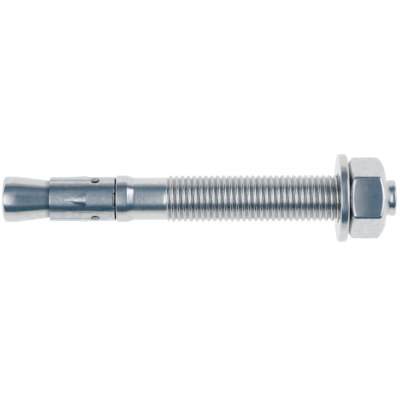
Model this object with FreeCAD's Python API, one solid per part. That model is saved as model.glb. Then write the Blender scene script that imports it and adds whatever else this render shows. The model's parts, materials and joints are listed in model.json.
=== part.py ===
import FreeCAD, Part
import math
import os

# Wedge anchor for a 16 mm hole in concrete, in millimetres.
# Its four pieces are the stud, the expansion clip, the washer and the hex nut.
# Each piece is built round its own axis, with the stud's cone end at X = 0.
# The whole anchor is then laid down on the rims of its cone and its washer.

# Cone and neck, where the clip sits
cone_dia = 15.6
cone_land = 4.3
cone_edge_round = 1.2
cone_half_angle = 7.6
cone_blend = 12.0
neck_dia = 12.1
neck_blend = 5.0
neck_corner_round = 0.4

# Collar and plain shank
collar_dia = 15.9
collar_length = 3.65
collar_edge_round = 0.3
collar_taper = 2.4
collar_blend = 1.2
shank_dia = 14.35
shank_length = 10.9
shank_blend = 1.5

# Thread and tip
thread_dia = 15.8
thread_length = 75.4
thread_start_chamfer = 0.7
thread_end_chamfer = 1.9
tip_groove_depth = 0.15
tip_groove_run = 0.3
tip_dia = 12.3
tip_length = 2.55
tip_round = 0.8

# Expansion clip, stamped from strip and rolled round the neck
clip_neck_gap = 0.25
clip_sheet = 1.2
clip_crown = 0.13
clip_crown_run = 7.0
clip_length = 21.95
clip_edge_round = 0.25
clip_turn = 2.5
clip_play = 0.5
clip_on_cone_gap = 0.05
lobe_slot_angle = 60.0
lobe_slot_width = 0.5
relief_dia = 3.2
relief_from_edge = 15.3
seam_gap = 2.4

# Tabs pressed out of the clip, and the two nicks left by its blanking
tab_count = 3
tab_spacing = 102.0
tab_length = 7.4
tab_width = 4.9
tab_rise = 0.5
tab_base_from_edge = 12.3
tab_root_depth = 0.1
nick_angle = 16.5
nick_width = 0.6
nick_depth = 0.4

# Washer
washer_dia = 30.0
washer_bore_gap = 0.6
washer_thickness = 3.0
washer_front_round = 0.5
washer_back_round = 0.85
washer_bore_round = 0.25
washer_touch_gap = 0.05
washer_turn = 2.2

# Hex nut
nut_across_flats = 24.0
nut_height = 12.7
nut_corner_round = 1.2
nut_chamfer_dia = 21.2
nut_chamfer_angle = 30.0
nut_bore_clearance = 0.06
nut_countersink = 0.65
nut_seat_gap = 0.02
tip_reach = 3.95

# How far a cutting shape runs past what it cuts
overrun = 5.0

# How far the flats that make up an edge rounding may lie from its arc
round_error = 0.05

ORIGIN = FreeCAD.Vector(0, 0, 0)
AXIS = FreeCAD.Vector(1, 0, 0)

# Bores, worked out from what passes through them
clip_bore_dia = neck_dia + 2 * clip_neck_gap
washer_bore = thread_dia + 2 * washer_bore_gap
nut_bore = thread_dia + 2 * nut_bore_clearance

# Places along the axis, worked out from the cone end
cone_slope = math.tan(math.radians(cone_half_angle))
clip_seat_radius = clip_bore_dia / 2 - clip_on_cone_gap
clip_start = cone_land + (cone_dia / 2 - clip_seat_radius) / cone_slope
clip_end = clip_start + clip_length
cone_end = cone_land + (cone_dia - neck_dia) / 2 / cone_slope
collar_start = clip_end + clip_play
collar_end = collar_start + collar_length
shank_start = collar_end + collar_taper
shank_end = shank_start + shank_length
thread_end = shank_end + thread_length
stud_length = thread_end + tip_length
nut_end = stud_length - tip_reach
nut_start = nut_end - nut_height
washer_end = nut_start - nut_seat_gap
washer_start = washer_end - washer_thickness

# The washer is loose on the thread, and the stud lies in the bottom of its bore
washer_up = washer_bore_gap - washer_touch_gap


def rounded(corners):
    """The points of an outline. A corner is (along, radius, rounding), and its arc
    is laid out in as many equal flats as keep within round_error of it."""
    places = [FreeCAD.Vector(along, radius, 0) for along, radius, _ in corners]
    points = []
    for i, (_, _, rounding) in enumerate(corners):
        corner = places[i]
        if not rounding:
            points.append(corner)
            continue
        back = (places[i - 1] - corner).normalize()
        ahead = (places[(i + 1) % len(places)] - corner).normalize()
        half_angle = back.getAngle(ahead) / 2
        inward = (back + ahead).normalize()
        centre = corner + inward * (rounding / math.sin(half_angle))
        start = corner + back * (rounding / math.tan(half_angle)) - centre
        turn = math.pi - 2 * half_angle
        flats = math.ceil(turn / (2 * math.acos(1 - round_error / rounding)))
        way = math.copysign(1, back.cross(ahead).z)
        for step in range(flats + 1):
            spin = FreeCAD.Rotation(FreeCAD.Vector(0, 0, -way), math.degrees(turn * step / flats))
            points.append(centre + spin.multVec(start))
    return points


def turned(corners):
    """Turn a rounded outline about the X axis."""
    points = rounded(corners)
    outline = Part.Face(Part.makePolygon([*points, points[0]]))
    return outline.revolve(ORIGIN, AXIS, 360)


def around(shape, angle):
    """Turn a shape about the anchor's axis, from the top towards -Y."""
    return shape.rotated(ORIGIN, AXIS, angle)


def make_stud():
    """The bar: cone, neck, collar, shank, thread at its crest diameter and tip."""
    groove_dia = tip_dia - 2 * tip_groove_depth
    return turned([
        (0, 0, 0),
        (0, cone_dia / 2, cone_edge_round),
        (cone_land, cone_dia / 2, cone_blend),
        (cone_end, neck_dia / 2, neck_blend),
        (collar_start, neck_dia / 2, neck_corner_round),
        (collar_start, collar_dia / 2, collar_edge_round),
        (collar_end, collar_dia / 2, collar_blend),
        (shank_start, shank_dia / 2, shank_blend),
        (shank_end, shank_dia / 2, 0),
        (shank_end + thread_start_chamfer, thread_dia / 2, 0),
        (thread_end - thread_end_chamfer, thread_dia / 2, 0),
        (thread_end, groove_dia / 2, 0),
        (thread_end + tip_groove_run, tip_dia / 2, 0),
        (stud_length, tip_dia / 2, tip_round),
        (stud_length, 0, 0),
    ])


def clip_barrel():
    """The rolled strip before it is slotted: one wall, a little fuller in the middle."""
    inside = clip_bore_dia / 2
    outside = inside + clip_sheet
    crown_start = clip_start + clip_crown_run
    crown_end = clip_end - clip_crown_run
    return turned([
        (clip_start, inside, 0),
        (clip_start, outside, clip_edge_round),
        (crown_start, outside + clip_crown, 0),
        (crown_end, outside + clip_crown, 0),
        (clip_end, outside, clip_edge_round),
        (clip_end, inside, 0),
        (crown_end, inside + clip_crown, 0),
        (crown_start, inside + clip_crown, 0),
    ])


def pressed_tab(depth):
    """A half pyramid, apex towards the cone, sunk by depth below the outer face."""
    wall_top = clip_bore_dia / 2 + clip_sheet + clip_crown
    base = clip_start + tab_base_from_edge
    foot = math.sqrt(wall_top ** 2 - (tab_width / 2) ** 2)
    apex = FreeCAD.Vector(base - tab_length, 0, wall_top - tab_root_depth - depth)
    left = FreeCAD.Vector(base, -tab_width / 2, foot - tab_root_depth - depth)
    right = FreeCAD.Vector(base, tab_width / 2, foot - tab_root_depth - depth)
    ridge = FreeCAD.Vector(base, 0, wall_top + tab_rise - depth)
    sides = [(apex, left, ridge), (apex, ridge, right), (left, right, ridge), (apex, right, left)]
    faces = [Part.Face(Part.makePolygon([*side, side[0]])) for side in sides]
    return Part.Solid(Part.Shell(faces))


def clip_slot():
    """One slot between lobes, with its round relief, pointing up."""
    hole_at = clip_start + relief_from_edge
    reach = clip_bore_dia / 2 + clip_sheet + overrun
    slot = Part.makeBox(
        relief_from_edge + overrun,
        lobe_slot_width,
        reach,
        FreeCAD.Vector(clip_start - overrun, -lobe_slot_width / 2, 0),
    )
    hole = Part.makeCylinder(relief_dia / 2, reach, FreeCAD.Vector(hole_at, 0, 0))
    return slot.fuse(hole)


def clip_nick():
    """One blanking nick in the edge beside the collar, pointing up."""
    return Part.makeBox(
        nick_depth + overrun,
        nick_width,
        clip_bore_dia / 2 + clip_sheet + overrun,
        FreeCAD.Vector(clip_end - nick_depth, -nick_width / 2, 0),
    )


def make_clip():
    """The expansion clip: three lobes that the cone spreads, each with a pressed tab."""
    clip = clip_barrel()
    tab_angles = [(i - (tab_count - 1) / 2) * tab_spacing for i in range(tab_count)]
    clip = clip.fuse([around(pressed_tab(0), angle) for angle in tab_angles])
    seam = Part.makeBox(
        clip_length + 2 * overrun,
        seam_gap,
        clip_bore_dia / 2 + clip_sheet + overrun,
        FreeCAD.Vector(clip_start - overrun, -seam_gap / 2, 0),
    )
    cuts = [around(pressed_tab(clip_sheet), angle) for angle in tab_angles]
    cuts += [around(clip_slot(), angle) for angle in (-lobe_slot_angle, lobe_slot_angle)]
    cuts += [around(clip_nick(), angle) for angle in (-nick_angle, nick_angle)]
    cuts.append(around(seam, 180))
    return around(clip.cut(cuts), clip_turn)


def make_washer():
    """A blanked flat washer, rounder on the face that left the die first."""
    washer = turned([
        (washer_start, washer_bore / 2, washer_bore_round),
        (washer_start, washer_dia / 2, washer_front_round),
        (washer_end, washer_dia / 2, washer_back_round),
        (washer_end, washer_bore / 2, washer_bore_round),
    ])
    washer.rotate(ORIGIN, AXIS, washer_turn)
    washer.translate(FreeCAD.Vector(0, 0, washer_up))
    return washer


def make_nut():
    """A hex nut with a flat on top, both faces chamfered and its bore countersunk."""
    bore = nut_bore / 2
    corner = nut_across_flats / 2 / math.cos(math.radians(30))
    outline = [
        FreeCAD.Vector(nut_start, corner * math.cos(a), corner * math.sin(a))
        for a in (math.radians(60 * i) for i in range(7))
    ]
    prism = Part.Face(Part.makePolygon(outline)).extrude(AXIS * nut_height)
    uprights = [edge for edge in prism.Edges if abs(edge.tangentAt(edge.FirstParameter).x) > 0.999]
    prism = prism.makeFillet(nut_corner_round, uprights)
    chamfer_radius = nut_chamfer_dia / 2
    run = (corner - chamfer_radius) * math.tan(math.radians(nut_chamfer_angle))
    limits = turned([
        (nut_start, bore + nut_countersink, 0),
        (nut_start, chamfer_radius, 0),
        (nut_start + run, corner, 0),
        (nut_end - run, corner, 0),
        (nut_end, chamfer_radius, 0),
        (nut_end, bore + nut_countersink, 0),
        (nut_end - nut_countersink, bore, 0),
        (nut_start + nut_countersink, bore, 0),
    ])
    return prism.common(limits)


def rest_placement():
    """How the anchor lies: on the rim of the cone end and on the rim of the washer."""
    cone_ball = (cone_edge_round, cone_dia / 2 - cone_edge_round, cone_edge_round)
    washer_ball = (
        washer_start + washer_front_round,
        washer_dia / 2 - washer_front_round - washer_up,
        washer_front_round,
    )
    run = washer_ball[0] - cone_ball[0]
    rise = washer_ball[1] - cone_ball[1]
    tilt = math.atan2(rise, run)
    tilt += math.asin((washer_ball[2] - cone_ball[2]) / math.hypot(run, rise))
    up = cone_ball[1] * math.cos(tilt) + cone_ball[2] - cone_ball[0] * math.sin(tilt)
    low_x = cone_ball[0] * math.cos(tilt) - cone_ball[1] * math.sin(tilt) - cone_ball[2]
    high_x = (stud_length - tip_round) * math.cos(tilt)
    high_x += (tip_dia / 2 - tip_round) * math.sin(tilt) + tip_round
    return FreeCAD.Placement(
        FreeCAD.Vector(-(low_x + high_x) / 2, 0, up),
        FreeCAD.Rotation(FreeCAD.Vector(0, 1, 0), -math.degrees(tilt)),
    )


os.makedirs("parts", exist_ok=True)
rest = rest_placement()
pieces = {
    "stud": make_stud(),
    "expansion_clip": make_clip(),
    "washer": make_washer(),
    "hex_nut": make_nut(),
}
for name, piece in pieces.items():
    laid = piece.transformed(rest.toMatrix(), True)
    laid.exportStep(f"parts/{name}.step")
    print(name, round(laid.Volume, 2), "mm3")
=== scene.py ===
# %% [markdown]
# # A wedge anchor in zinc-plated steel
# A wedge anchor is hammered into a drilled hole. Tightening its nut pulls the stud back, and the cone
# at its end spreads a thin steel clip against the concrete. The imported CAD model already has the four
# pieces in place. This lesson builds a finer mesh for each of them, with the true thread and the soft
# edges of pressed metal, and then gives them their plating, light and camera.

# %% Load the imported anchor
import json
import math

import bmesh
import bpy
import numpy as np
from mathutils import Matrix, Vector
from mathutils.geometry import delaunay_2d_cdt


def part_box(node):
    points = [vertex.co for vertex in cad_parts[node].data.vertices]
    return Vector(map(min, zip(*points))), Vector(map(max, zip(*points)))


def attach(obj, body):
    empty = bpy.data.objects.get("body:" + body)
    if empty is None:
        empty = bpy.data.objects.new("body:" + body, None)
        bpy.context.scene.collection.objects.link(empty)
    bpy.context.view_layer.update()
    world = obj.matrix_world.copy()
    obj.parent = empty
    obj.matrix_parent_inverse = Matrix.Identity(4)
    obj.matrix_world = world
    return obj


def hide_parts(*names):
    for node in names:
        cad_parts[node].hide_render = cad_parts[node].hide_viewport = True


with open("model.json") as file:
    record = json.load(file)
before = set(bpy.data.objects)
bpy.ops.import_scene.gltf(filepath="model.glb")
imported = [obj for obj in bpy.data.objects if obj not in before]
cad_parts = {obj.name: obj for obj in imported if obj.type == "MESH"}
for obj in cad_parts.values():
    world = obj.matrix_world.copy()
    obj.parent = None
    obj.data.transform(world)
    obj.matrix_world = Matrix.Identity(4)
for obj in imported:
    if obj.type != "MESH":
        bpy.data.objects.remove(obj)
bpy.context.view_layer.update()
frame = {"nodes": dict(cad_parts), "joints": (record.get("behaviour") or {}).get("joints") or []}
print("CAD pieces:", sorted(frame["nodes"]))

# %% [markdown]
# ## The anchor's own axis
# The anchor lies on the floor at a small tilt, so world X is not quite its axis. Everything turned on a
# lathe is easier to describe along its own axis: how far along, how far out, and at what angle. The
# nut's joint in the record gives that axis exactly, and the CAD stud shows where it starts.

# %% Places along, out and round
MM = 0.001
nut_joint = next(j for j in frame["joints"] if j["name"] == "nut_turn")
axis = Vector(nut_joint["axis"]).normalized()
side = Vector((0, -1, 0))
up = side.cross(axis)
joint_place = Vector(nut_joint["pos_m"])


def span(node, start):
    """Where a CAD piece begins and ends along the axis, in mm from a start point."""
    along = [(v.co - start).dot(axis) / MM for v in frame["nodes"][node].data.vertices]
    return min(along), max(along)


cone_end_point = joint_place + axis * span("stud", joint_place)[0] * MM


def on_anchor(along, out, angle, lift=0.0):
    """A point from mm along the axis, mm out from it, and radians round it from the top."""
    spoke = up * (math.cos(angle) * out + lift) + side * (math.sin(angle) * out)
    return cone_end_point + (axis * along + spoke) * MM


clip_start, clip_end = span("expansion_clip", cone_end_point)
washer_start, washer_end = span("washer", cone_end_point)
nut_start, nut_end = span("hex_nut", cone_end_point)
# The finer meshes stop this far inside the CAD model's box.
shy = 0.02
stud_length = span("stud", cone_end_point)[1] - shy
print("stud", round(stud_length, 2), "mm, nut from", round(nut_start, 2), "to", round(nut_end, 2))

# %% [markdown]
# ## Outlines with real roundings
# A turned piece is drawn as half of its outline. Each corner carries its own rounding, and the arc is
# laid in as short chords. Chords of a few degrees are enough once the faces are shaded smooth.

# %% Round the corners of an outline
def rounded(corners, chord=math.radians(9)):
    """Outline points for (along, out, rounding) corners of an open outline."""
    places = [Vector((a, r, 0)) for a, r, _ in corners]
    points = []
    for i, (along, out, rounding) in enumerate(corners):
        if not rounding or i in (0, len(corners) - 1):
            points.append((along, out))
            continue
        corner = places[i]
        back = (places[i - 1] - corner).normalized()
        ahead = (places[i + 1] - corner).normalized()
        half = back.angle(ahead) / 2
        centre = corner + (back + ahead).normalized() * (rounding / math.sin(half))
        first = corner + back * (rounding / math.tan(half)) - centre
        turn = math.pi - 2 * half
        steps = max(2, math.ceil(turn / chord))
        way = -math.copysign(1, back.cross(ahead).z)
        for k in range(steps + 1):
            p = centre + Matrix.Rotation(way * turn * k / steps, 3, "Z") @ first
            points.append((p.x, p.y))
    return points


print("a square corner rounded by 1 mm:", len(rounded([(0, 0, 0), (5, 0, 1), (5, 5, 0)])), "points")

# %% Rings and skins
TURN = 2 * math.pi
columns = 120
ROUND = [TURN * (k / columns - 0.5) for k in range(columns)]
# A radius under ON_AXIS, in mm, is a point. Vertices nearer than WELD, in metres, are one.
ON_AXIS = 1e-6
WELD = 2e-7
print("columns round a turned piece:", len(ROUND))


def add_ring(bm, along, out, angles, lift=0.0):
    """One ring of vertices, or a single one on the axis."""
    if out < ON_AXIS:
        return [bm.verts.new(on_anchor(along, 0, 0, lift))]
    return [bm.verts.new(on_anchor(along, out, a, lift)) for a in angles]


def skin(bm, first, second):
    """Faces between two rings, or between a ring and a point on the axis."""
    n = max(len(first), len(second))
    for i in range(n):
        j = (i + 1) % n
        corners = [
            first[i % len(first)],
            first[j % len(first)],
            second[j % len(second)],
            second[i % len(second)],
        ]
        bm.faces.new(list(dict.fromkeys(corners)))


def turn_outline(bm, points, angles, lift=0.0):
    """Spin an outline round the axis."""
    rings = [add_ring(bm, a, r, angles, lift) for a, r in points]
    for first, second in zip(rings, rings[1:]):
        skin(bm, first, second)


# %% Finish a mesh into a piece that rides on its body
def finish_piece(bm, name, body, node, slot, sharp=38, **marks):
    """Weld, face outwards, shade, mark its surface, and put it in place of its CAD node.

    Each mark is a function of a vertex's mm along the axis and mm out from it.
    """
    bmesh.ops.remove_doubles(bm, verts=bm.verts, dist=WELD)
    loose = [v for v in bm.verts if not v.link_faces]
    bmesh.ops.delete(bm, geom=loose, context="VERTS")
    bmesh.ops.recalc_face_normals(bm, faces=bm.faces)
    if bm.calc_volume(signed=True) < 0:
        bmesh.ops.reverse_faces(bm, faces=bm.faces)
    open_edges = sum(not e.is_manifold for e in bm.edges)
    volume = bm.calc_volume() / MM ** 3
    mesh = bpy.data.meshes.new(name)
    bm.to_mesh(mesh)
    bm.free()
    mesh.shade_smooth()
    mesh.set_sharp_from_angle(angle=math.radians(sharp))
    for mark, share_at in marks.items():
        shares = []
        for v in mesh.vertices:
            offset = (v.co - cone_end_point) / MM
            along = offset.dot(axis)
            shares.append(share_at(along, (offset - axis * along).length))
        mesh.attributes.new(mark, "FLOAT", "POINT").data.foreach_set("value", shares)
    piece = bpy.data.objects.new(name, mesh)
    bpy.context.scene.collection.objects.link(piece)
    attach(piece, body)
    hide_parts(node)
    triangles = sum(len(p.vertices) - 2 for p in mesh.polygons)
    print(name, triangles, "triangles", round(volume, 1), "mm3,", open_edges, "open edges")
    return piece


# %% [markdown]
# ## The thread
# A 16 mm coarse thread climbs 2 mm a turn. Its ridge has a softly rounded crest, two flanks at 60
# degrees to each other, and a rounded root, and rolling presses it out of the bar. One way to make it
# is to twist a profile with a Screw modifier. Here the rows of a grid are laid along the helix instead,
# and clamped to the thread's two ends, which leaves a closed skin that joins the plain rings beside it.

# %% The thread's profile
pitch = 2.0
first_crest = 57.27
crest_out = 7.9
root_out = 6.8
# How far out the surface is at each distance from the middle of the crest.
profile = [
    (0.0, crest_out), (0.08, 7.882), (0.2, 7.845), (0.32, 7.79), (0.42, 7.72),
    (0.5, 7.62), (0.6, 7.45), (0.86, 6.99), (0.93, 6.88), (1.0, root_out),
]
# Where the grid's rows lie within a turn. They are closest together over the crest.
crest_side = [0.04, 0.1, 0.16, 0.21, 0.25, 0.3, 0.43, 0.465]
knots = [0.0, *crest_side, 0.5, *[1 - k for k in reversed(crest_side)]]
print("thread", round(crest_out - root_out, 2), "mm deep,", len(knots), "rows a turn")


def thread_out(along, angle):
    """Radius of the bolt's thread, from the distance to the nearest crest."""
    phase = (along - first_crest) / pitch - angle / TURN
    away = abs(phase - round(phase)) * pitch
    for (d0, r0), (d1, r1) in zip(profile, profile[1:]):
        if away <= d1:
            return r0 + (r1 - r0) * (away - d0) / (d1 - d0)
    return root_out


# %% Lay the helical grid
def skin_helix(bm, start, end, out_at, angles):
    """A helical grid between two planes. Spare turns before and after them are clamped flat."""
    per_turn = len(knots)
    lowest = math.floor((start - first_crest) / pitch) - 1
    turns = math.ceil((end - start) / pitch) + 3
    grid = []
    for i in range((turns + 1) * per_turn + 1):
        base = first_crest + pitch * (lowest + i // per_turn + knots[i % per_turn])
        row = []
        for a in angles:
            along = min(max(base + pitch * a / TURN, start), end)
            row.append(bm.verts.new(on_anchor(along, out_at(along, a), a)))
        grid.append(row)
    count = len(angles)
    for i in range(turns * per_turn):
        for j in range(count):
            k, climb = (j + 1, 0) if j + 1 < count else (0, per_turn)
            quad = [grid[i][j], grid[i + climb][k], grid[i + 1 + climb][k], grid[i + 1][j]]
            corners = []
            for v in quad:
                if all((v.co - c.co).length > WELD for c in corners):
                    corners.append(v)
            if len(corners) > 2:
                bm.faces.new(corners)


# %% [markdown]
# ## The stud
# One bar carries everything: the cone, the neck for the clip, the collar that stops the clip on the way
# in, the plain shank, the thread, and a slimmer tip that takes the hammer. The plain parts are turned
# from one outline each. The thread starts at its full depth within a third of a turn, as a rolling die
# leaves it, beside a low lip of steel that the die has pushed up.

# %% The stud's sizes
cone_front_out = 7.76
cone_out = 7.8
cone_straight = 4.3
neck_start = 17.417
neck_out = 6.05
cone_slope = (cone_out - neck_out) / (neck_start - cone_straight)
collar_start = 38.367
collar_end = 42.017
collar_out = 7.95
shank_start = 44.417
shank_out = 7.175
lip_start = 54.5
lip_top = 55.3
lip_out = 7.3
shank_end = 55.5
blank_out = 7.2
tip_length = 2.55
tip_shoulder = 1.1
tip_foot_out = 5.85
tip_shoulder_out = 6.13
tip_out = 6.15
thread_end = stud_length - tip_length
print("thread from", shank_end, "to", round(thread_end, 2), "mm")

# %% Turn the cone, neck, collar and shank
# The marks for painted shade are kept at vertices, so the slope has rings of its own for them to fade over.
fade_rings = (13.3, 14.0, 14.7, 15.4, 15.9, 16.2)
stud_body = rounded([
    (0, 0, 0),
    (0, cone_front_out, 1.2),
    (cone_straight, cone_out, 12.0),
    *[(along, cone_out - (along - cone_straight) * cone_slope, 0) for along in fade_rings],
    (neck_start, neck_out, 0),
    (collar_start, neck_out, 0.4),
    (collar_start, collar_out, 0.3),
    (collar_end, collar_out, 1.2),
    (shank_start, shank_out, 2.5),
    (lip_start, shank_out, 1.5),
    (lip_top, lip_out, 0.15),
    (shank_end, blank_out, 0),
])
stud_mesh = bmesh.new()
turn_outline(stud_mesh, stud_body, ROUND)
print("outline points:", len(stud_body))


# %% Roll the thread and turn the tip
def smooth(value):
    """A soft step from 0 to 1."""
    value = min(max(value, 0.0), 1.0)
    return value * value * (3 - 2 * value)


thread_run_in = 0.55


def stud_thread_out(along, angle):
    """The thread rises out of the blank bar at one end, and is turned down to the tip at the other."""
    rise = smooth((along - shank_end) / thread_run_in)
    out = blank_out + (thread_out(along, angle) - blank_out) * rise
    return min(out, tip_foot_out + (thread_end - along))


skin_helix(stud_mesh, shank_end, thread_end, stud_thread_out, ROUND)
stud_tip = rounded([
    (thread_end, tip_foot_out, 0),
    (thread_end + tip_shoulder, tip_shoulder_out, 1.0),
    (stud_length, tip_out, 0.7),
    (stud_length, 0, 0),
])
turn_outline(stud_mesh, stud_tip, ROUND)
print("tip points:", len(stud_tip))

# %% Where painted shade darkens the stud, and where its skin is rougher and painted paler
thread_grime = 0.08
clip_grime = 0.5
grime_fade = 2.0
grime_edge = 0.2
under_clip = 0.3
collar_face = 0.013
collar_rim = 0.15


def stud_grime(along, out):
    """Painted shade: a little over the thread, most in the gap beside the collar, some on the cone beside
    the clip.
    """
    if shank_end + grime_edge < along < thread_end:
        return thread_grime
    if clip_end - under_clip < along < collar_start + collar_face and out < collar_out - collar_rim:
        return 1.0
    if along < clip_start + grime_edge:
        return clip_grime * smooth((along - clip_start + grime_edge + grime_fade) / grime_fade)
    return 0.0


shank_bare = 0.2
root_bare = 0.22
root_edge = 0.3
rubbed_out = 7.6
rubbed_fade = 0.3


def stud_bare(along, out):
    """The thread's roots and the plain shank are rougher than the rubbed crests, and painted paler there as
    a stand-in for light.
    """
    if shank_start < along < (lip_top + shank_end) / 2:
        return shank_bare
    if shank_end + root_edge < along < thread_end:
        return root_bare * smooth((rubbed_out - out) / rubbed_fade)
    return 0.0


stud = finish_piece(
    stud_mesh, "zinc_stud", "stud", "stud", "stud_zinc", grime=stud_grime, bare=stud_bare)

# %% [markdown]
# ## The expansion clip
# The real clip starts as a flat strip. A press cuts its outline, two slots with round reliefs and two
# small nicks, pushes up three wedge-shaped tabs that keep it from turning in the hole, and the strip is
# then rolled round the neck. Booleans on a tube would leave ragged faces round the tabs, so the code
# follows the press: it draws the flat strip, fills it with triangles, lifts the tabs, and rolls it.

# %% The strip's outline
sheet = 1.2
bore = 6.3
outer = bore + sheet
clip_turn = math.radians(2.5)
seam_half = 1.2
strip_half = outer * (math.pi - seam_half / outer)
slot_y = outer * math.radians(60)
slot_half = 0.1
slot_steps = 14
relief_x = clip_start + 15.3
relief_r = 1.6
relief_steps = 26
nick_y = outer * math.radians(16.5)
nick_depth = 0.4
nick_mouth_half = 0.3
nick_floor_half = 0.22


def slot_cut(y):
    """Points down one slot, round its relief and back, going up the strip's front edge."""
    open_angle = math.asin(slot_half / relief_r)
    reach = relief_r * math.cos(open_angle)
    run = relief_x - reach - clip_start
    down = [clip_start + run * k / slot_steps for k in range(slot_steps + 1)]
    points = [(x, y - slot_half) for x in down]
    for k in range(1, relief_steps):
        a = -math.pi + open_angle + (TURN - 2 * open_angle) * k / relief_steps
        points.append((relief_x + relief_r * math.cos(a), y + relief_r * math.sin(a)))
    return points + [(x, y + slot_half) for x in reversed(down)]


def nick_cut(y):
    """Points of one nick in the edge beside the collar, going down the strip."""
    floor_x = clip_end - nick_depth
    return [
        (clip_end, y + nick_mouth_half),
        (floor_x, y + nick_floor_half),
        (floor_x, y - nick_floor_half),
        (clip_end, y - nick_mouth_half),
    ]


front_edge = [(clip_start, -strip_half), *slot_cut(-slot_y), *slot_cut(slot_y), (clip_start, strip_half)]
back_edge = [(clip_end, strip_half), *nick_cut(nick_y), *nick_cut(-nick_y), (clip_end, -strip_half)]
print("corners of the strip:", len(front_edge) + len(back_edge))


# %% Divide the outline
def line_of(start, end, count):
    """Points that divide a straight line into count parts, with both its ends."""
    (x0, y0), (x1, y1) = start, end
    return [(x0 + (x1 - x0) * k / count, y0 + (y1 - y0) * k / count) for k in range(count + 1)]


def divided(points, step):
    """The same closed outline with no stretch longer than step."""
    finer = []
    for start, end in zip(points, points[1:] + points[:1]):
        count = max(1, math.ceil(math.dist(start, end) / step))
        finer += line_of(start, end, count)[:-1]
    return finer


strip_step = 0.55
strip = divided(front_edge + back_edge, strip_step)
print("strip outline:", len(strip), "points,", round(2 * strip_half, 1), "mm long")

# %% The pressed tabs
tab_base = clip_start + 12.3
tab_length = 7.4
tab_half = 2.45
tab_rise = 0.5
tab_centres = [outer * math.radians(a) for a in (-102, 0, 102)]
# As a share of its length, a tab ends a hair past its base, so that the base's own row is lifted.
tab_end = 1.0001
ridge_round = 0.42
crown = 0.02
crown_run = 7.0
print("tabs", tab_length, "mm long, centred at", [round(c, 2) for c in tab_centres], "mm across the strip")


def tab_height(x, y):
    """How far the press has pushed the strip out at this place."""
    along = (x - tab_base + tab_length) / tab_length
    if along <= 0 or along > tab_end:
        return 0.0
    across = min(abs(y - c) for c in tab_centres) / (tab_half * along)
    if across < ridge_round:
        return tab_rise * along * (1 - ridge_round / 2 - across ** 2 / (2 * ridge_round))
    return tab_rise * along * max(0.0, 1 - across)


def strip_height(x, y):
    """The clip is a little fuller in its middle, and carries the tabs."""
    fuller = crown * smooth(min(x - clip_start, clip_end - x) / crown_run)
    return fuller + tab_height(x, y)


# %% Rows beside the cut edge
doubled_back = 1e-4
least_lean = 0.4
most_depths = 1.6


def inset(points, depth):
    """The closed outline moved inwards by depth, and by most_depths of it at a sharp corner."""
    moved = []
    n = len(points)
    for i in range(n):
        before, here, after = (Vector(points[k % n]) for k in (i - 1, i, i + 1))
        d0, d1 = (here - before).normalized(), (after - here).normalized()
        n0, n1 = Vector((d0.y, -d0.x)), Vector((d1.y, -d1.x))
        lean = (n0 + n1).normalized() if (n0 + n1).length > doubled_back else n0
        reach = min(depth / max(lean.dot(n0), least_lean), most_depths * depth)
        moved.append(tuple(here + lean * reach))
    return moved


edge_x = np.array([p[0] for p in strip])
edge_y = np.array([p[1] for p in strip])
edge_dx = np.roll(edge_x, -1) - edge_x
edge_dy = np.roll(edge_y, -1) - edge_y


def from_edge(x, y):
    """Distance from a place on the strip to its cut edge."""
    share = ((x - edge_x) * edge_dx + (y - edge_y) * edge_dy) / (edge_dx * edge_dx + edge_dy * edge_dy)
    t = np.clip(share, 0, 1)
    return float(np.hypot(x - edge_x - t * edge_dx, y - edge_y - t * edge_dy).min())


print("middle of the strip to its edge:", round(from_edge((clip_start + clip_end) / 2, 0), 2), "mm")

# %% Fill the strip with triangles
edge_run = 0.2
edge_row = 0.07
ray_parts = 12
foot_parts = 6
foot_step = 0.04
rows_along = 24
rows_across = 96
grid_clear = 0.3
# The filler keeps only triangles inside the outline, and takes places nearer than this, in mm, as one.
inside_only = 1
nearest = 1e-5
flat, segments = [], []


def add_line(points, closed=False):
    """Put a line's points on the strip, as edges that the triangles have to keep."""
    start = len(flat)
    flat.extend(Vector(p) for p in points)
    last = len(points) if closed else len(points) - 1
    segments.extend((start + k, start + (k + 1) % len(points)) for k in range(last))


add_line(strip, closed=True)
add_line(inset(strip, edge_row), closed=True)
add_line(inset(strip, edge_run), closed=True)
for c in tab_centres:
    tab_tip = (tab_base - tab_length, c)
    for lean in (-1, -ridge_round, -ridge_round / 2, 0, ridge_round / 2, ridge_round, 1):
        add_line(line_of(tab_tip, (tab_base, c + lean * tab_half), ray_parts))
    for x in (tab_base, tab_base + foot_step):
        add_line([(x, c + tab_half * k / foot_parts) for k in range(-foot_parts, foot_parts + 1)])
grid_x = [clip_start + (clip_end - clip_start) * k / rows_along for k in range(1, rows_along)]
grid_y = [-strip_half + strip_half * 2 * k / rows_across for k in range(1, rows_across)]
flat += [Vector((x, y)) for x in grid_x for y in grid_y if from_edge(x, y) > grid_clear]
filled = delaunay_2d_cdt(flat, segments, [list(range(len(strip)))], inside_only, nearest)
places, triangles = filled[0], filled[2]
print("flat strip:", len(places), "places,", len(triangles), "triangles")

# %% How a cut edge is drawn down
front_band = 0.3
front_depth = 0.01
slit_band = 0.35
slit_depth = 0.06
punched_depth = 0.13


def edge_drop(p, distance):
    """How much the punch has drawn the outer face down beside a cut edge.

    The front edge stays almost square, and the slots are slit, not punched.
    """
    if p.x < clip_start + front_band:
        depth = front_depth
    elif abs(abs(p.y) - slot_y) < slit_band and p.x < relief_x - relief_r:
        depth = slit_depth
    else:
        depth = punched_depth
    return depth * (1 - min(distance / edge_run, 1.0)) ** 2


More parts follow.
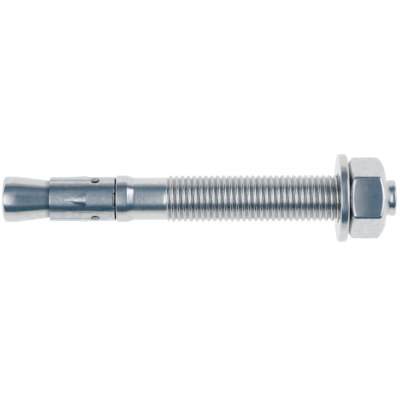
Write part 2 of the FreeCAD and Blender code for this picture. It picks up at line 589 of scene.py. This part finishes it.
# %% Give the strip its thickness and roll it
clip_mesh = bmesh.new()
shade_layer = clip_mesh.verts.layers.float.new("grime")
bare = clip_mesh.verts.layers.float.new("bare")
inner_drop = 0.4
burr = 0.36
burr_run = 0.5
at_cut = 0.01
at_end = 0.02
cone_edge_grime = 0.8
outside, inside = [], []
for p in places:
    rise = strip_height(p.x, p.y)
    gap = from_edge(p.x, p.y)
    drop = edge_drop(p, gap)
    angle = p.y / outer + clip_turn
    inner_x = p.x + burr * smooth((p.x - clip_end + burr_run) / burr_run)
    outside.append(clip_mesh.verts.new(on_anchor(p.x, outer + rise - drop, angle)))
    inside.append(clip_mesh.verts.new(on_anchor(inner_x, bore + rise + inner_drop * drop, angle)))
    for v in (outside[-1], inside[-1]):
        # The cut walls, away from the front edge, are rougher and painted pale, a painted stand-in for light
        # in the slots and reliefs.
        v[bare] = 1.0 if gap < at_cut and p.x > clip_start + front_band else 0.0
    # Painted shade darkens the clip's ends where they meet the collar and the cone, outside and inside.
    beside_collar = p.x > clip_end - at_end
    if beside_collar or p.x < clip_start + at_end:
        outside[-1][shade_layer] = 1.0 if beside_collar else cone_edge_grime
        inside[-1][shade_layer] = 1.0
edges = {}
for a, b, c in triangles:
    clip_mesh.faces.new((outside[a], outside[b], outside[c]))
    clip_mesh.faces.new((inside[c], inside[b], inside[a]))
    edges.update(dict.fromkeys(((a, b), (b, c), (c, a))))
# An edge that no neighbour runs the other way lies on the strip's rim.
rim = [(i, j) for i, j in edges if (j, i) not in edges]
for i, j in rim:
    clip_mesh.faces.new((outside[j], outside[i], inside[i], inside[j]))
clip = finish_piece(clip_mesh, "zinc_clip", "clip", "expansion_clip", "clip_zinc", 34)

# %% [markdown]
# ## The washer
# A punch blanks the washer out of plate. It draws the edge round on the side where it enters, so the
# two faces don't have the same rounding. The washer is loose, and it hangs on the thread with its bore
# resting on the crests, which puts its centre a little above the stud's.

# %% Turn the washer
washer_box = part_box("washer")
washer_middle = (washer_box[0] + washer_box[1]) / 2
washer_lift = (washer_middle - cone_end_point).dot(up) / MM
washer_out = 15.0 - shy
washer_bore = 8.5
bore_rounding = 0.25
half_way_out = (washer_out + washer_bore) / 2
washer_points = rounded([
    (washer_start, half_way_out, 0),
    (washer_start, washer_out, 0.5),
    (washer_end, washer_out, 0.85),
    (washer_end, washer_bore, bore_rounding),
    (washer_start, washer_bore, bore_rounding),
    (washer_start, half_way_out, 0),
])
washer_mesh = bmesh.new()
turn_outline(washer_mesh, washer_points, ROUND, washer_lift)
washer = finish_piece(washer_mesh, "zinc_washer", "washer", "washer", "washer_zinc")
print("washer lifted", round(washer_lift, 2), "mm")

# %% [markdown]
# ## The nut
# A hex nut is a six-sided bar whose corners are turned down to a cone at both faces. Where the cone
# meets a flat it leaves a curved edge, and that curve is what makes a nut look like a nut. Each column
# of the mesh works out its own place on that curve, so the edge is clean and can be softened.

# %% Columns round the hexagon
flat_out = 12.0
corner_round = 0.7
SIXTH = math.radians(60)
TWELFTH = math.radians(30)
corner_centre = (flat_out - corner_round) / math.cos(TWELFTH)
flat_half = math.atan((flat_out - corner_round) * math.tan(TWELFTH) / flat_out)
flat_columns = 7
corner_columns = 6


def hex_out(angle):
    """How far out the hexagon is, with a flat at the top."""
    away = (angle + TWELFTH) % SIXTH - TWELFTH
    if abs(away) <= flat_half:
        return flat_out / math.cos(away)
    lean = TWELFTH - abs(away)
    past_centre = math.sqrt(corner_round ** 2 - (corner_centre * math.sin(lean)) ** 2)
    return corner_centre * math.cos(lean) + past_centre


sector = [flat_half * k / flat_columns for k in range(-flat_columns, flat_columns + 1)]
sector += [flat_half + (TWELFTH - flat_half) * 2 * k / corner_columns for k in range(1, corner_columns)]
HEX = sorted((SIXTH * s + a + TWELFTH) % TURN - math.pi for s in range(6) for a in sector)
print("nut columns:", len(HEX))

# %% Build the nut's faces, chamfers and flats
face_out = 10.6
face_soft = 0.3
face_dip = 0.02
mouth_out = 8.61
cone_rise = math.tan(TWELFTH)
chamfer_rows = (0.35, 0.8)
# Past the chamfer's edge by the first number, the flat is still lower by the second.
soft_edge = ((0.02, 0.25), (0.25, 0.14), (0.5, 0.06), (0.75, 0.015), (1.0, 0.0))


def nut_ring(bm, along_at, out_at):
    """One ring of the nut, whose places are worked out column by column."""
    return [bm.verts.new(on_anchor(along_at(a), out_at(a), a)) for a in HEX]


def chamfer_depth(angle):
    """How far from the face the cone meets the hexagon in this column."""
    return (hex_out(angle) - face_out) * cone_rise


def nut_half(bm, face, inward):
    """Rings from the bore's edge over the chamfer to the flats. inward is +1 or -1."""
    rings = [
        nut_ring(bm, lambda a: face, lambda a: mouth_out),
        nut_ring(bm, lambda a: face, lambda a: face_out - face_soft),
        nut_ring(bm, lambda a: face + inward * face_dip, lambda a: face_out),
    ]
    for share in chamfer_rows:
        rings.append(nut_ring(
            bm,
            lambda a: face + inward * chamfer_depth(a) * share,
            lambda a: face_out + chamfer_depth(a) * share / cone_rise,
        ))
    for past, below in soft_edge:
        rings.append(nut_ring(
            bm,
            lambda a: face + inward * (chamfer_depth(a) + past),
            lambda a: hex_out(a) - below,
        ))
    return rings


nut_mesh = bmesh.new()
front = nut_half(nut_mesh, nut_start, 1)
back = nut_half(nut_mesh, nut_end, -1)
middle = nut_ring(nut_mesh, lambda a: (nut_start + nut_end) / 2, hex_out)
chain = front + [middle] + back[::-1]
for first, second in zip(chain, chain[1:]):
    skin(nut_mesh, first, second)
print("rings over the nut's outside:", len(chain))

# %% Cut the nut's own thread
thread_room = 0.07
nut_thread_in = 6.95


def nut_thread_out(along, angle):
    """The nut's thread leaves the bolt's a little room, and opens at both mouths."""
    inside_out = max(thread_out(along, angle) + thread_room, nut_thread_in)
    mouth = max(mouth_out - (along - nut_start), mouth_out - (nut_end - along))
    return max(inside_out, mouth)


skin_helix(nut_mesh, nut_start, nut_end, nut_thread_out, HEX)

# %% Where painted shade darkens the nut
inside_nut = 8.2
inside_grime = 0.9
washer_side_grime = 0.6
washer_side_depth = 1.5
washer_side_fade = 0.6


def nut_grime(along, out):
    """Painted shade: dark inside the nut's thread, and on the chamfer that faces the washer."""
    if out < inside_nut:
        return inside_grime
    return washer_side_grime * smooth((nut_start + washer_side_depth - along) / washer_side_fade)


nut = finish_piece(nut_mesh, "zinc_nut", "nut", "hex_nut", "nut_zinc", 50, grime=nut_grime)

# %% [markdown]
# ## Zinc plating
# Bright zinc is a thin metal skin with a faint blue cast. What keeps it from looking like painted grey
# are soft patches and a wider bloom where the passivation has coloured it, fine drawing lines left by
# the forming, and a grain that blurs its reflections unevenly. Painted shade darkens the gaps and the
# thread, and a pale colour painted on cut edges and on the stud's roots and shank stands in for light,
# with a rougher skin there; both follow the marks that the meshes carry. All four pieces share these
# effects, so they are made once as a node group, and each material sets its own amounts.

# %% The plating group
def new_node(tree, kind, place, **values):
    """A node at a place in the tree, with its properties set by name."""
    node = tree.nodes.new(kind)
    node.location = place
    for key, value in values.items():
        setattr(node, key, value)
    return node


plating = bpy.data.node_groups.new("zinc plating", "ShaderNodeTree")
sockets = plating.interface
for label, kind, value in [
    ("Clean Colour", "NodeSocketColor", (0.67, 0.675, 0.67, 1)),
    ("Patch Colour", "NodeSocketColor", (0.53, 0.56, 0.58, 1)),
    ("Patch Size", "NodeSocketFloat", 4.0),
    ("Patch Amount", "NodeSocketFloat", 0.8),
    ("Bloom Colour", "NodeSocketColor", (0.6, 0.59, 0.66, 1)),
    ("Bloom Amount", "NodeSocketFloat", 0.4),
    ("Line Stretch", "NodeSocketVector", (0.12, 2.2, 2.2)),
    ("Line Amount", "NodeSocketFloat", 0.3),
    ("Grain Amount", "NodeSocketFloat", 0.3),
    ("Gloss", "NodeSocketFloat", 0.2),
    # A dark colour for painted shade, and a pale colour painted as a stand-in for light.
    ("Painted Shade Colour", "NodeSocketColor", (0.03, 0.055, 0.06, 1)),
    ("Painted Pale Colour", "NodeSocketColor", (0.88, 0.89, 0.88, 1)),
]:
    made = sockets.new_socket(name=label, in_out="INPUT", socket_type=kind)
    made.default_value = value
for label, kind in [
    ("Colour", "NodeSocketColor"),
    ("Roughness", "NodeSocketFloat"),
    ("Height", "NodeSocketFloat"),
]:
    sockets.new_socket(name=label, in_out="OUTPUT", socket_type=kind)
print("plating inputs:", [s.name for s in sockets.items_tree if s.in_out == "INPUT"])


# %% Patches, bloom, drawing lines and grain
def noise(place, **settings):
    """A noise texture in the plating group, with its inputs set by name."""
    texture = new_node(plating, "ShaderNodeTexNoise", place)
    for label, value in settings.items():
        texture.inputs[label.title()].default_value = value
    return texture


inputs = new_node(plating, "NodeGroupInput", (-1200, 0))
outputs = new_node(plating, "NodeGroupOutput", (900, 0))
object_place = new_node(plating, "ShaderNodeTexCoord", (-1200, -400))
# The textures are laid in mm, with their X along the anchor's axis.
turned_place = new_node(plating, "ShaderNodeMapping", (-1000, -400))
turned_place.inputs["Rotation"].default_value = (0, math.asin(axis.z), 0)
turned_place.inputs["Scale"].default_value = (1 / MM, 1 / MM, 1 / MM)
stretch = new_node(plating, "ShaderNodeMapping", (-800, -300))
patch_scale = new_node(plating, "ShaderNodeMath", (-800, 200), operation="DIVIDE")
patch_scale.inputs[0].default_value = 1.0
patches = noise((-600, 200), detail=3.0, roughness=0.6)
bloom = noise((-600, 500), scale=0.45, detail=2.0)
lines = noise((-600, -250), scale=1.4, detail=4.0)
grain = noise((-600, -550), scale=3.2, detail=2.0)
# Marks for painted shade, and for a rougher skin painted pale.
grime = new_node(plating, "ShaderNodeAttribute", (-350, 650), attribute_name="grime")
pale_rough_mark = new_node(plating, "ShaderNodeAttribute", (-350, 850), attribute_name="bare")
link = plating.links.new
link(object_place.outputs["Object"], turned_place.inputs["Vector"])
link(inputs.outputs["Patch Size"], patch_scale.inputs[1])
link(patch_scale.outputs[0], patches.inputs["Scale"])
link(inputs.outputs["Line Stretch"], stretch.inputs["Scale"])
link(stretch.outputs[0], lines.inputs["Vector"])
for taker in (patches, bloom, stretch, grain):
    link(turned_place.outputs[0], taker.inputs["Vector"])
print("plating nodes:", len(plating.nodes))


# %% Ways to join them
def centred(texture, amount, place):
    """A texture's value moved to run either side of zero, times a named amount."""
    shifted = new_node(plating, "ShaderNodeMath", place, operation="SUBTRACT")
    shifted.inputs[1].default_value = 0.5
    scaled = new_node(plating, "ShaderNodeMath", (place[0] + 180, place[1]), operation="MULTIPLY")
    link(texture.outputs[0], shifted.inputs[0])
    link(shifted.outputs[0], scaled.inputs[0])
    link(inputs.outputs[amount], scaled.inputs[1])
    return scaled.outputs[0]


def add_up(values, place):
    """The sum of several values."""
    total = values[0]
    for k, value in enumerate(values[1:]):
        node = new_node(plating, "ShaderNodeMath", (place[0] + 160 * k, place[1]), operation="ADD")
        link(total, node.inputs[0])
        link(value, node.inputs[1])
        total = node.outputs[0]
    return total


def times(value, factor, place):
    """A value times a number."""
    node = new_node(plating, "ShaderNodeMath", place, operation="MULTIPLY")
    node.inputs[1].default_value = factor
    link(value, node.inputs[0])
    return node.outputs[0]


def mixed(share, under, over, place):
    """One colour over another, by a share."""
    node = new_node(plating, "ShaderNodeMix", place, data_type="RGBA")
    link(share, node.inputs["Factor"])
    link(under, node.inputs["A"])
    link(over, node.inputs["B"])
    return node.outputs["Result"]


def tinted(under, texture, low, high, amount, over, place):
    """Another colour over this one where a texture runs from low to high, by a named amount."""
    mask = new_node(plating, "ShaderNodeMapRange", place)
    mask.inputs["From Min"].default_value = low
    mask.inputs["From Max"].default_value = high
    part = new_node(plating, "ShaderNodeMath", (place[0] + 180, place[1]), operation="MULTIPLY")
    link(texture.outputs[0], mask.inputs["Value"])
    link(mask.outputs[0], part.inputs[0])
    link(inputs.outputs[amount], part.inputs[1])
    return mixed(part.outputs[0], under, inputs.outputs[over], (place[0] + 360, place[1]))


# %% Turn them into colour, roughness and height
colour = inputs.outputs["Clean Colour"]
colour = tinted(colour, patches, 0.4, 0.62, "Patch Amount", "Patch Colour", (-350, 300))
colour = tinted(colour, bloom, 0.45, 0.6, "Bloom Amount", "Bloom Colour", (50, 300))
# A pale colour painted on cut walls, the thread's roots and the shank stands in for light.
colour = mixed(pale_rough_mark.outputs["Fac"], colour, inputs.outputs["Painted Pale Colour"], (550, 400))
# Painted shade: a dark colour over the gaps between pieces, the thread and the nut's bore.
colour = mixed(grime.outputs["Fac"], colour, inputs.outputs["Painted Shade Colour"], (750, 400))
texture_blur = 0.35
bare_blur = 0.35
line_part = centred(lines, "Line Amount", (-350, -250))
grain_part = centred(grain, "Grain Amount", (-350, -550))
patch_part = centred(patches, "Patch Amount", (-350, 0))
all_textures = add_up([line_part, grain_part, patch_part], (100, -100))
roughness = add_up([
    inputs.outputs["Gloss"],
    times(all_textures, texture_blur, (450, -100)),
    times(pale_rough_mark.outputs["Fac"], bare_blur, (450, -250)),
], (620, -100))
link(colour, outputs.inputs["Colour"])
link(roughness, outputs.inputs["Roughness"])
link(add_up([line_part, grain_part], (100, -400)), outputs.inputs["Height"])
print("plating nodes:", len(plating.nodes))

# %% A material for each piece
bump_depth = 0.1 * MM


def zinc_material(name, bump, **settings):
    """Zinc plating with the named amounts given here, and the group's own values for the rest."""
    material = bpy.data.materials.new(name)
    material.use_nodes = True
    tree = material.node_tree
    shader = tree.nodes["Principled BSDF"]
    shader.inputs["Metallic"].default_value = 1.0
    finish = new_node(tree, "ShaderNodeGroup", (-700, 200), node_tree=plating)
    for label, value in settings.items():
        finish.inputs[label.replace("_", " ").title()].default_value = value
    relief = new_node(tree, "ShaderNodeBump", (-350, -200))
    relief.inputs["Strength"].default_value = bump
    relief.inputs["Distance"].default_value = bump_depth
    tree.links.new(finish.outputs["Colour"], shader.inputs["Base Color"])
    tree.links.new(finish.outputs["Roughness"], shader.inputs["Roughness"])
    tree.links.new(finish.outputs["Height"], relief.inputs["Height"])
    tree.links.new(relief.outputs["Normal"], shader.inputs["Normal"])
    return material


stud.data.materials.append(zinc_material(
    "stud zinc", 0.4,
    patch_size=1.5, patch_amount=0.5,
    line_stretch=(1.7, 0.22, 0.22), line_amount=0.6,
    gloss=0.16,
))
clip.data.materials.append(zinc_material(
    "clip zinc", 0.4,
    clean_colour=(0.63, 0.64, 0.64, 1),
    patch_colour=(0.45, 0.49, 0.52, 1), patch_size=1.2, patch_amount=0.6,
    bloom_colour=(0.46, 0.52, 0.6, 1), bloom_amount=0.6,
    line_amount=1.0,
    gloss=0.15,
))
washer.data.materials.append(zinc_material(
    "washer zinc", 0.3,
    patch_size=1.2, patch_amount=0.5,
    line_amount=0.1, grain_amount=0.5,
    gloss=0.2,
))
nut.data.materials.append(zinc_material(
    "nut zinc", 0.3,
    patch_size=1.8, patch_amount=0.6,
    line_amount=1.2, grain_amount=0.4,
    gloss=0.1,
))
# The CAD pieces are hidden behind these, and are plated too.
for node in frame["nodes"].values():
    node.data.materials.clear()
    node.data.materials.append(stud.data.materials[0])
print("materials:", [piece.data.materials[0].name for piece in (stud, clip, washer, nut)])

# %% [markdown]
# ## Floor
# The anchor lies on a pale sheet. The sheet is plain diffuse paper for the light, so it catches the
# anchor's soft shadow. For what the camera and the metal see of it, a share of plain white is mixed in,
# because a studio's white ground is brighter than paper can be without blowing out the metal.

# %% Lay the floor
floor_half = 3.0
floor_corners = [(x * floor_half, y * floor_half, 0) for x, y in ((-1, -1), (1, -1), (1, 1), (-1, 1))]
floor_mesh = bpy.data.meshes.new("floor")
floor_mesh.from_pydata(floor_corners, [], [(0, 1, 2, 3)])
floor = bpy.data.objects.new("floor", floor_mesh)
bpy.context.scene.collection.objects.link(floor)
print("floor", 2 * floor_half, "m wide")

# %% Make it pale paper
paper_grey = 0.85
white_strength = 1.06
white_share = 0.9
paper = bpy.data.materials.new("white paper")
paper.use_nodes = True
tree = paper.node_tree
sheet_shader = tree.nodes["Principled BSDF"]
sheet_shader.inputs["Base Color"].default_value = (paper_grey, paper_grey, paper_grey, 1)
sheet_shader.inputs["Roughness"].default_value = 0.9
sheet_shader.inputs["Specular IOR Level"].default_value = 0.0
white = new_node(tree, "ShaderNodeEmission", (0, -300))
white.inputs["Strength"].default_value = white_strength
light_path = new_node(tree, "ShaderNodeLightPath", (-500, 300))
seen = new_node(tree, "ShaderNodeMath", (-300, 300), operation="MAXIMUM")
share = new_node(tree, "ShaderNodeMath", (-100, 300), operation="MULTIPLY")
share.inputs[1].default_value = white_share
ground = new_node(tree, "ShaderNodeMixShader", (300, 100))
tree.links.new(light_path.outputs["Is Camera Ray"], seen.inputs[0])
tree.links.new(light_path.outputs["Is Glossy Ray"], seen.inputs[1])
tree.links.new(seen.outputs[0], share.inputs[0])
tree.links.new(share.outputs[0], ground.inputs["Fac"])
tree.links.new(sheet_shader.outputs["BSDF"], ground.inputs[1])
tree.links.new(white.outputs[0], ground.inputs[2])
tree.links.new(ground.outputs[0], tree.nodes["Material Output"].inputs["Surface"])
floor_mesh.materials.append(paper)
print("floor material:", paper.name)

# %% [markdown]
# ## Studio light
# Polished metal shows its surroundings. The photograph's metal has pale edges, a blue-grey body, one
# softer bright band and a navy one beside it, which tells what stood round it: white walls low down,
# a grey room above, and a long soft lamp overhead. Two windows light the slopes that face the nut and
# those that face the cone end, and the nut's upper flat shows a dark patch just beside the lamp. The
# world is built from those, by direction, so every view of the anchor reflects the same room. The
# camera itself sees plain white past the floor's edge.

# %% The room, by direction
def angle_node(tree, direction, across, over, place):
    """A direction's angle in degrees, away from over and towards across."""
    found = []
    for k, way in enumerate((across, over)):
        dot = new_node(tree, "ShaderNodeVectorMath", (place[0], place[1] - 160 * k), operation="DOT_PRODUCT")
        dot.inputs[1].default_value = way
        tree.links.new(direction, dot.inputs[0])
        found.append(dot.outputs["Value"])
    swing = new_node(tree, "ShaderNodeMath", (place[0] + 180, place[1]), operation="ARCTAN2")
    degrees = new_node(tree, "ShaderNodeMath", (place[0] + 340, place[1]), operation="DEGREES")
    tree.links.new(found[0], swing.inputs[0])
    tree.links.new(found[1], swing.inputs[1])
    tree.links.new(swing.outputs[0], degrees.inputs[0])
    return degrees.outputs[0]


def ramp_node(tree, value, reach, stops, place):
    """A soft colour ramp over a value between -reach and reach. Stops are (value, colour or grey)."""
    spread = new_node(tree, "ShaderNodeMapRange", place)
    spread.inputs["From Min"].default_value = -reach
    spread.inputs["From Max"].default_value = reach
    ramp = new_node(tree, "ShaderNodeValToRGB", (place[0] + 180, place[1]))
    ramp.color_ramp.interpolation = "EASE"
    elements = ramp.color_ramp.elements
    while len(elements) < len(stops):
        elements.new(0.5)
    for element, (at, colour) in zip(elements, sorted(stops)):
        element.position = (at + reach) / (2 * reach)
        element.color = (*colour, 1) if isinstance(colour, tuple) else (colour, colour, colour, 1)
    tree.links.new(value, spread.inputs["Value"])
    tree.links.new(spread.outputs["Result"], ramp.inputs["Fac"])
    return ramp.outputs["Color"]


world = bpy.data.worlds.new("studio room")
bpy.context.scene.world = world
world.use_nodes = True
room = world.node_tree
direction = new_node(room, "ShaderNodeTexCoord", (-1400, 0)).outputs["Generated"]
sideways = angle_node(room, direction, tuple(side), tuple(up), (-1200, 300))
lengthways = angle_node(room, direction, tuple(axis), tuple(up), (-1200, -100))
walls = ramp_node(room, sideways, 130, [
    (-128, (0.80, 0.79, 0.77)),
    (-106, (0.63, 0.63, 0.62)),
    (-78, (0.53, 0.53, 0.53)),
    (-67, (0.10, 0.17, 0.25)),
    (-52, (0.13, 0.22, 0.31)),
    (-34, (0.22, 0.31, 0.40)),
    (22, (0.24, 0.33, 0.42)),
    (46, (0.05, 0.13, 0.20)),
    (64, (0.04, 0.12, 0.18)),
    (75, (0.82, 0.81, 0.78)),
    (100, (0.90, 0.88, 0.84)),
], (-700, 500))
print("room nodes:", len(room.nodes))


# %% A soft lamp overhead, two windows, a dark patch and bright ends
def blend(tree, kind, first, second, share, place):
    """Two colours blended by a share. Each is a value or another node's output."""
    node = new_node(tree, "ShaderNodeMix", place, data_type="RGBA", blend_type=kind)
    for label, value in (("A", first), ("B", second), ("Factor", share)):
        if isinstance(value, bpy.types.NodeSocket):
            tree.links.new(value, node.inputs[label])
        else:
            node.inputs[label].default_value = value
    return node.outputs["Result"]


def patch_of_room(across, along, place):
    """The part of the room between these angles sideways and lengthways, with soft edges."""
    x, y = place
    across_ramp = ramp_node(room, sideways, 90, across, (x, y))
    along_ramp = ramp_node(room, lengthways, 90, along, (x, y - 250))
    return blend(room, "MULTIPLY", across_ramp, along_ramp, 1.0, (x + 400, y))


lamp = patch_of_room(
    [(-60, 0.0), (-22, (0.30, 0.27, 0.25)), (8, (0.66, 0.58, 0.52)), (22, (0.48, 0.42, 0.38)), (38, 0.0)],
    [(-3.4, 0.0), (-2.8, 0.2), (-1.9, 1.0), (2.2, 1.0), (4.2, 0.0)],
    (-700, 250),
)
nut_side_window = patch_of_room(
    [(-62, 0.0), (-48, 1.0), (-10, 1.0), (6, 0.7), (20, 0.5), (30, 0.0)],
    [(24, 0.0), (32, 1.0), (60, 1.0), (66, 0.0)],
    (-700, -250),
)
cone_side_window = patch_of_room(
    [(-42, 0.0), (-24, 0.5), (-6, 1.0), (24, 1.0), (34, 0.0)],
    [(-72, 0.0), (-65, 1.0), (-12, 1.0), (-9, 0.8), (-7.4, 0.6), (-6.6, 0.0)],
    (-700, -1000),
)
dark_patch = patch_of_room(
    [(-26, 0.0), (-17, 1.0), (17, 1.0), (26, 0.0)],
    [(1.8, 0.0), (3.2, 1.0), (8.2, 1.0), (9.2, 0.0)],
    (-700, -1500),
)
ends = ramp_node(room, lengthways, 90, [(-76, 1.0), (-62, 0.0), (66, 0.0), (78, 1.0)], (-700, -750))
print("room nodes:", len(room.nodes))

# %% Put the room together
nut_side_light = (1.7, 1.7, 1.7, 1)
cone_side_light = (1.4, 1.4, 1.37, 1)
dark = (0.045, 0.13, 0.20, 1)
pale = (0.95, 0.95, 0.95, 1)
full = (1, 1, 1, 1)
eye = new_node(room, "ShaderNodeLightPath", (200, 600))
lit = blend(room, "ADD", walls, lamp, 1.0, (-100, 400))
lit = blend(room, "MIX", lit, nut_side_light, nut_side_window, (80, 300))
lit = blend(room, "MIX", lit, cone_side_light, cone_side_window, (80, 0))
lit = blend(room, "MIX", lit, dark, dark_patch, (80, -300))
lit = blend(room, "MIX", lit, pale, ends, (260, 200))
lit = blend(room, "MIX", lit, full, eye.outputs["Is Camera Ray"], (440, 300))
background = room.nodes["Background"]
background.location = (640, 300)
background.inputs["Strength"].default_value = 1.0
room.nodes["World Output"].location = (840, 300)
room.links.new(lit, background.inputs["Color"])
print("room nodes:", len(room.nodes))

# %% [markdown]
# ## Camera
# The photograph was taken from straight above, a little over half a metre away: near enough that the
# washer's front face and the nut's near edge just show. The camera stands square to the anchor's axis.

# %% Place the camera
camera_height = 587.0
sensor = 36
# The picture's width and middle, its middle's offset across the anchor, and its small turn.
seen_width = 136.44
seen_middle = 66.75
seen_offset = 0.5
seen_turn = math.radians(-0.217)
camera_data = bpy.data.cameras.new("camera")
camera_data.sensor_width = sensor
camera_data.lens = sensor * camera_height / seen_width
camera = bpy.data.objects.new("camera", camera_data)
bpy.context.scene.collection.objects.link(camera)
stand = on_anchor(seen_middle, 0, 0) + (up * camera_height + side * seen_offset) * MM
facing = Matrix((axis, -side, up)).transposed().to_4x4()
camera.matrix_world = Matrix.Translation(stand) @ facing @ Matrix.Rotation(seen_turn, 4, "Z")
bpy.context.scene.camera = camera
bpy.context.scene.view_settings.view_transform = "Standard"
print("lens", round(camera_data.lens, 1), "mm")

# %% Update the scene
bpy.context.view_layer.update()
